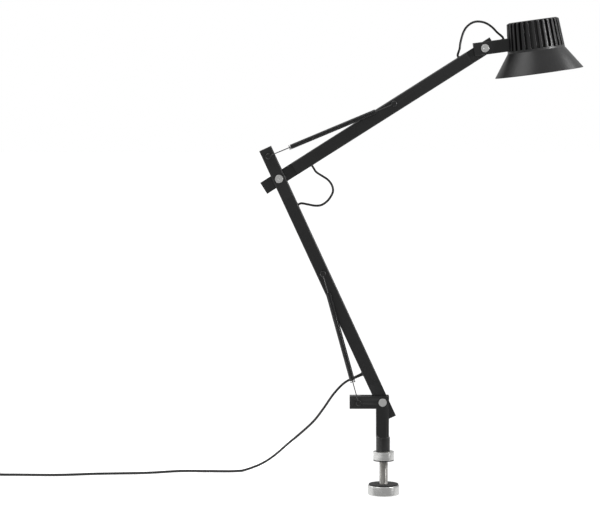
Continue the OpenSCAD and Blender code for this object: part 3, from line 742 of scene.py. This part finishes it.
def make_spring(name, place, radius):
    """A close-wound coil that narrows to its anchor's eye, with its last turn set off."""
    wound_r, steps, pitch = radius - coil_wire_r, 14, 2 * coil_wire_r + 0.1
    turns = (coil_length - coil_gap - 2 * coil_wire_r) / pitch
    count = int(turns * steps)
    path = []
    for k in range(count + 1):
        t = k / steps
        narrow = min(1.0, 0.12 + t / 1.2)
        gap = coil_gap * min(1.0, max(0.0, (t - turns + 1.5) / 0.7))
        path.append(Vector((wound_r * narrow * cos(tau * t), wound_r * narrow * sin(tau * t),
                            coil_start + coil_wire_r + pitch * t + gap)))
    make(name + "_coil", tube(path, coil_wire_r, 6), place, name)
    make(name + "_eye", tube(hook_path(coil_start + 1.5), wire_r, 10), place, name,
         drawn_wire, stands_in=False, slot="bright_steel")


def make_springs():
    for name, anchor, pin, radius in (
        ("lower_spring", "lower_spring_swing", "lower_hook_swing", lower_spring_r),
        ("upper_spring", "upper_spring_swing", "upper_hook_swing", upper_spring_r),
    ):
        start, end = pivot(anchor), pivot(pin)
        make_spring(name, frame_at(start, end - start), radius)
        hook = name + "_hook"
        make(hook + "_wire", tube(hook_path(hook_length), wire_r, 10),
             frame_at(end, start - end), hook, drawn_wire)


# ---- cable fittings ----
def grommet_outline(bore):
    return rounded([
        (bore, -arm_wall), (grommet_r, -arm_wall), (grommet_r, 0), (grommet_r + grommet_t, 0),
        (grommet_r + grommet_t, grommet_t, 0.4), (bore, grommet_t, 0.3),
    ], 4)


def make_cable_fittings():
    bore = cable_d / 2 + 0.05
    make("lower_cable_ring", lathe(grommet_outline(bore), 48),
         at(LOWER, half, 0, elbow_low_along) @ TOWARDS_RIGHT, "lower_arm_grommet")
    make("upper_cable_ring", lathe(grommet_outline(bore), 48),
         at(UPPER, half, 0, elbow_high_along) @ TOWARDS_RIGHT, "upper_arm_grommets")
    make("tip_cable_ring", lathe(grommet_outline(bore), 48),
         at(UPPER, -half, 0, tip_cable_along) @ TOWARDS_LEFT, "upper_arm_grommets",
         stands_in=False)
    make("neck_cable_ring", lathe(grommet_outline(bore), 48),
         at(HEAD, neck_cable_x, 0, neck_half), "neck_grommet")
    bore = cord_d / 2 + 0.05
    outline = [(bore, -arm_wall), (grommet_r, -arm_wall), (grommet_r, 0), (grommet_r + 0.6, 0),
               (grommet_r + 0.6, 0.8), (grommet_r + 0.4, 1)]
    ribs = 6
    for k in range(ribs):
        z = 1.2 + k * (relief_length - 2.4) / ribs
        r = cord_d / 2 + 0.9 - 0.6 * (z - 1) / (relief_length - 1)
        outline += [(r - 0.35, z), (r - 0.35, z + 0.7), (r, z + 0.9), (r - 0.03, z + 2.4)]
    outline += [(cord_d / 2 + 0.3, relief_length - 0.2), (bore + 0.1, relief_length),
                (bore, relief_length)]
    return make("tapered_relief", lathe(outline, 40),
                at(LOWER, -half, 0, cord_along) @ TOWARDS_LEFT, "cord_relief")


# ---- head ----
def gap_outline():
    """Half of a fin gap's section: distance from the gap's middle, and share of its depth."""
    edge, foot = fin_gap / 2, 0.9
    return [
        (edge + 0.55, 0.0), (edge + 0.25, 0.015), (edge + 0.06, 0.05), (edge, 0.11),
        (edge, 0.5), (edge, 0.86), (edge - 0.12, 0.94), (edge - 0.45, 0.985),
        (edge - foot, 1.0),
    ]


def fin_section(bm, outer, floor, depth, z):
    """One level of the drum: its outline dips towards floor at each gap, by a share depth."""
    shape = gap_outline()
    loop = []
    for i in range(fin_count):
        middle = (i + 0.5) * tau / fin_count
        for y, share in [(-y, s) for y, s in shape] + [(y, s) for y, s in reversed(shape)]:
            surface = sqrt(outer * outer - y * y)
            x = surface - (surface - floor) * share * depth
            loop.append(bm.verts.new((x * cos(middle) - y * sin(middle),
                                      x * sin(middle) + y * cos(middle), z)))
    return loop


def plain_section(bm, radius, z):
    """A round ring with as many points as a finned level, in the same directions."""
    loop = fin_section(bm, drum_low_r, 0, 0, z)
    for v in loop:
        v.co.xy = v.co.xy.normalized() * radius
    return loop


def make_drum():
    bm = bmesh.new()
    shoulder = drum_top - drum_chamfer
    slope = (drum_low_r - drum_top_r) / (shoulder - drum_low)

    def outer_at(z):
        if z <= shoulder:
            return drum_low_r - slope * (z - drum_low)
        return drum_top_r - drum_chamfer_in * (z - shoulder) / drum_chamfer

    def floor_at(z):
        return drum_low_r - fin_depth - slope * (z - drum_low)

    foot, roof = drum_low + fin_foot, drum_top - 0.8
    levels = [(drum_low, 0), (foot, 0), (foot + 0.12, 0.3), (foot + 0.45, 0.62),
              (foot + 1.1, 0.87), (foot + fin_fade, 1)]
    rise = shoulder - 0.35 - foot - fin_fade
    levels += [(foot + fin_fade + rise * k / 4, 1) for k in range(1, 5)]
    levels += [(shoulder, 1), (shoulder + 0.5, 1), (roof - 0.12, 1), (roof, 0)]
    loops = [fin_section(bm, outer_at(z), floor_at(z), depth, z) for z, depth in levels]
    top_r = drum_top_r - drum_chamfer_in
    cavity_top = drum_top - lid_t
    hole = button_r + 0.3
    for r, z in ((top_r + 0.5, drum_top - 0.25), (top_r, drum_top - 0.04), (top_r - 0.6, drum_top),
                 (button_r + 3, drum_top), (hole + 0.9, drum_top), (hole + 0.25, drum_top - 0.2),
                 (hole, drum_top - 0.7), (hole, cavity_top), (drum_bore_r - 0.4, cavity_top),
                 (drum_bore_r, cavity_top - 0.4), (drum_bore_r, drum_low)):
        loops.append(plain_section(bm, r, z))
    for a, b in zip(loops, [*loops[1:], loops[0]]):
        skin(bm, a, b)
    drum = make("drum_with_fins", bm, DRUM, "finned_drum", sharp=40)
    seat = bmesh.new()
    bmesh.ops.create_cube(seat, size=1)
    seat.transform(Matrix.Translation((neck_end - drum_x - neck_recess / 2, 0, 0))
                   @ Matrix.Diagonal((neck_recess, profile, 2 * neck_half, 1)))
    cut(drum, seat, DRUM)
    drum.data.shade_smooth()
    drum.data.set_sharp_from_angle(angle=radians(40))


def make_shade():
    outline = rounded([
        (drum_bore_r, drum_low, 0.3), (drum_low_r, drum_low, 0.15), (shade_r, rim_low, 0.5),
        (shade_r - shade_wall, rim_low, 0.5), (drum_low_r - shade_wall, drum_low - shade_t, 1.5),
        (drum_bore_r, drum_low - shade_t, 0.3),
    ], 6)
    make("spun_shade", lathe(outline, 180), DRUM, "shade")


def make_light_parts():
    outline = rounded([
        (board_r + 0.4, drum_low - shade_t - 1.8, 0.3), (board_r + 1.6, drum_low - shade_t - 0.1, 0.4),
        (31, drum_low - shade_t - 0.1, 2), (41.5, lip_z, 2), (lip_r, lip_z, 0.3),
        (lip_r, lip_z - 1.2, 0.3), (40.6, lip_z - 1.2, 2),
        (board_r + 3.2, drum_low - shade_t - 3, 1),
    ])
    make("light_cone", lathe(outline, 120), DRUM, "reflector")
    lens_low, lens_high = lip_z - 3.3, lip_z - 1.3
    outline = [(0, lens_low - 0.35), (15, lens_low - 0.32), (30, lens_low - 0.2),
               *rounded([(lens_r - 0.8, lens_low, 0.5), (lens_r, lens_low, 0.5),
                         (lens_r, lens_high, 0.5)])[6:],
               (0, lens_high)]
    make("opal_lens", lathe(outline, 120), DRUM, "diffuser")
    ring_low, ring_high = lip_z - 4.9, lip_z - 3.4
    outline = rounded([
        (ring_in_r, ring_low, 0.5), (ring_out_r, ring_low, 0.4), (ring_out_r, ring_high, 0.3),
        (ring_in_r, ring_high, 0.4),
    ])
    make("lens_ring", lathe(outline, 120), DRUM, "diffuser_ring")


def make_button():
    face = drum_top - 0.4
    foot = drum_top - lid_t - stem_low
    under = drum_top - 3.4
    outline = [(0, foot), (stem_r, foot), (stem_r, under), (button_r, under)]
    outline += rounded([(button_r, drum_top - 3), (button_r, face, 0.5), (6.2, face)], 5)[1:7]
    outline += [(6.4, face), (6.2, face - 0.3), (5.8, face - 0.3), (5.6, face - 0.02),
                (4, face - 0.18), (2, face - 0.28), (0, face - 0.32)]
    make("push_button", lathe(outline, 72), DRUM, "dimmer_button")


# ---- stage ----
def box_mesh(name, low, high, look):
    bm = bmesh.new()
    bmesh.ops.create_cube(bm, size=1)
    size = Vector(high) - Vector(low)
    middle = (Vector(high) + Vector(low)) / 2
    thing = new_piece(name, bm, Matrix.Translation(middle) @ Matrix.Diagonal((*size, 1)))
    thing.data.materials.append(look)


def make_stage():
    """A pale floor, and the part of the desk top that the power cord lies on."""
    pale = material("pale_floor", (0.9, 0.9, 0.9), (0.88, 0.88, 0.88), (0.85, 0.9),
                    specular=0.1, grain=8, depth=0.02, patch=900)
    shader = pale.node_tree.nodes["Principled BSDF"]
    shader.inputs["Emission Color"].default_value = (1, 1, 1, 1)
    shader.inputs["Emission Strength"].default_value = 0.45
    floor_z = -floor_drop * MM
    box_mesh("floor", (-30, -0.3, floor_z - 0.02), (30, 30, floor_z), pale)
    box_mesh("desk_top", (-1.2, -0.5, -desk_gap * MM), (-0.14, 0.5, -0.0002), pale)


def make_world():
    """A pale studio, brighter overhead, that the camera sees as plain white."""
    world = bpy.data.worlds.new("studio")
    world.use_nodes = True
    nodes, links = world.node_tree.nodes, world.node_tree.links
    around = nodes["Background"]
    behind = nodes.new("ShaderNodeBackground")
    parts = nodes.new("ShaderNodeSeparateXYZ")
    links.new(nodes.new("ShaderNodeTexCoord").outputs["Generated"], parts.inputs["Vector"])
    levels = []
    for axis, first, last, low, high in (("Z", 0.0, 1.0, 0.5, 0.8), ("Y", 0.2, 1.0, 0.0, 0.05)):
        level = nodes.new("ShaderNodeMapRange")
        level.interpolation_type = "SMOOTHSTEP"
        level.inputs["From Min"].default_value = first
        level.inputs["From Max"].default_value = last
        level.inputs["To Min"].default_value = low
        level.inputs["To Max"].default_value = high
        links.new(parts.outputs[axis], level.inputs["Value"])
        levels.append(level)
    total = nodes.new("ShaderNodeMath")
    for i, level in enumerate(levels):
        links.new(level.outputs["Result"], total.inputs[i])
    links.new(total.outputs["Value"], around.inputs["Strength"])
    for background in (around, behind):
        background.inputs["Color"].default_value = (1, 1, 1, 1)
    seen = nodes.new("ShaderNodeMixShader")
    links.new(nodes.new("ShaderNodeLightPath").outputs["Is Camera Ray"], seen.inputs["Fac"])
    links.new(around.outputs["Background"], seen.inputs[1])
    links.new(behind.outputs["Background"], seen.inputs[2])
    links.new(seen.outputs["Shader"], nodes["World Output"].inputs["Surface"])
    bpy.context.scene.world = world


def make_light(name, target, towards, distance, size, power):
    """A soft panel at a distance from its target, kept out of the picture."""
    data = bpy.data.lights.new(name, "AREA")
    data.shape = "RECTANGLE"
    data.size, data.size_y = size
    data.energy = power
    lamp = bpy.data.objects.new(name, data)
    way = Vector(towards).normalized()
    lamp.location = Vector(target) + way * distance
    lamp.rotation_euler = (-way).to_track_quat("-Z", "Y").to_euler()
    lamp.visible_camera = False
    bpy.context.scene.collection.objects.link(lamp)


def make_lights():
    head, foot, spring = (0.24, 0, 0.62), (0, 0, 0), (-0.075, 0, 0.2)
    make_light("strip_by_head", head, (0.81, -0.59, 0.02), 0.5, (0.08, 0.3), 4)
    make_light("panel_over_head", head, (0.84, 0.1, 0.54), 0.6, (0.25, 0.25), 0.9)
    make_light("panel_over_arm", head, (-0.49, -0.16, 0.53), 2, (1.3, 1.3), 14)
    make_light("strip_by_foot", foot, (0.91, -0.41, 0), 1.7, (0.25, 0.6), 1)
    make_light("strip_by_spring", spring, (-0.92, 0.4, 0), 0.3, (0.1, 0.25), 0.4)


# ---- build ----
make_camera()
bpy.context.scene.view_settings.view_transform = "Standard"
relief = make_cable_fittings()
on_the_cord = [*make_adapter(), make_cord_tie(), relief]
make_power_cord(on_the_cord)
make_elbow_cable()
make_head_cable()

make_mount()
make_pivot(POST, "lower_arm_tilt", "lower_pivot_bolt", "lower_cap_nut")
make_pivot(ELBOW, "elbow_tilt", "elbow_pivot_bolt", "elbow_cap_nut")
make_pivot(HEAD, "head_tilt", "head_pivot_bolt", "head_cap_nut")
dome_rivets("lower_dome_rivets", "lower_rivets", LOWER, (41, 345))
dome_rivets("upper_dome_rivets", "upper_rivets", UPPER, (34, 340))
make_springs()
make_drum()
make_shade()
make_light_parts()
make_button()

for node, piece in frame["nodes"].items():
    piece.data.materials.clear()
    piece.data.materials.append(looks[slot_of[node]])
for node in ("base_bracket", "lower_arm_tube", "lower_arm_tongue", "upper_arm_tube",
             "upper_arm_tongue", "head_fork", "head_neck"):
    soften(node)
for node in ("lower_arm_head", "upper_arm_tip"):
    soften(node, 0.7, 1)
for node in ("lever_spring_pin", "lower_arm_spring_pins", "upper_arm_spring_pin", "head_screws",
             "pressure_plate"):
    soften(node, 0.25)

make_stage()
make_world()
make_lights()
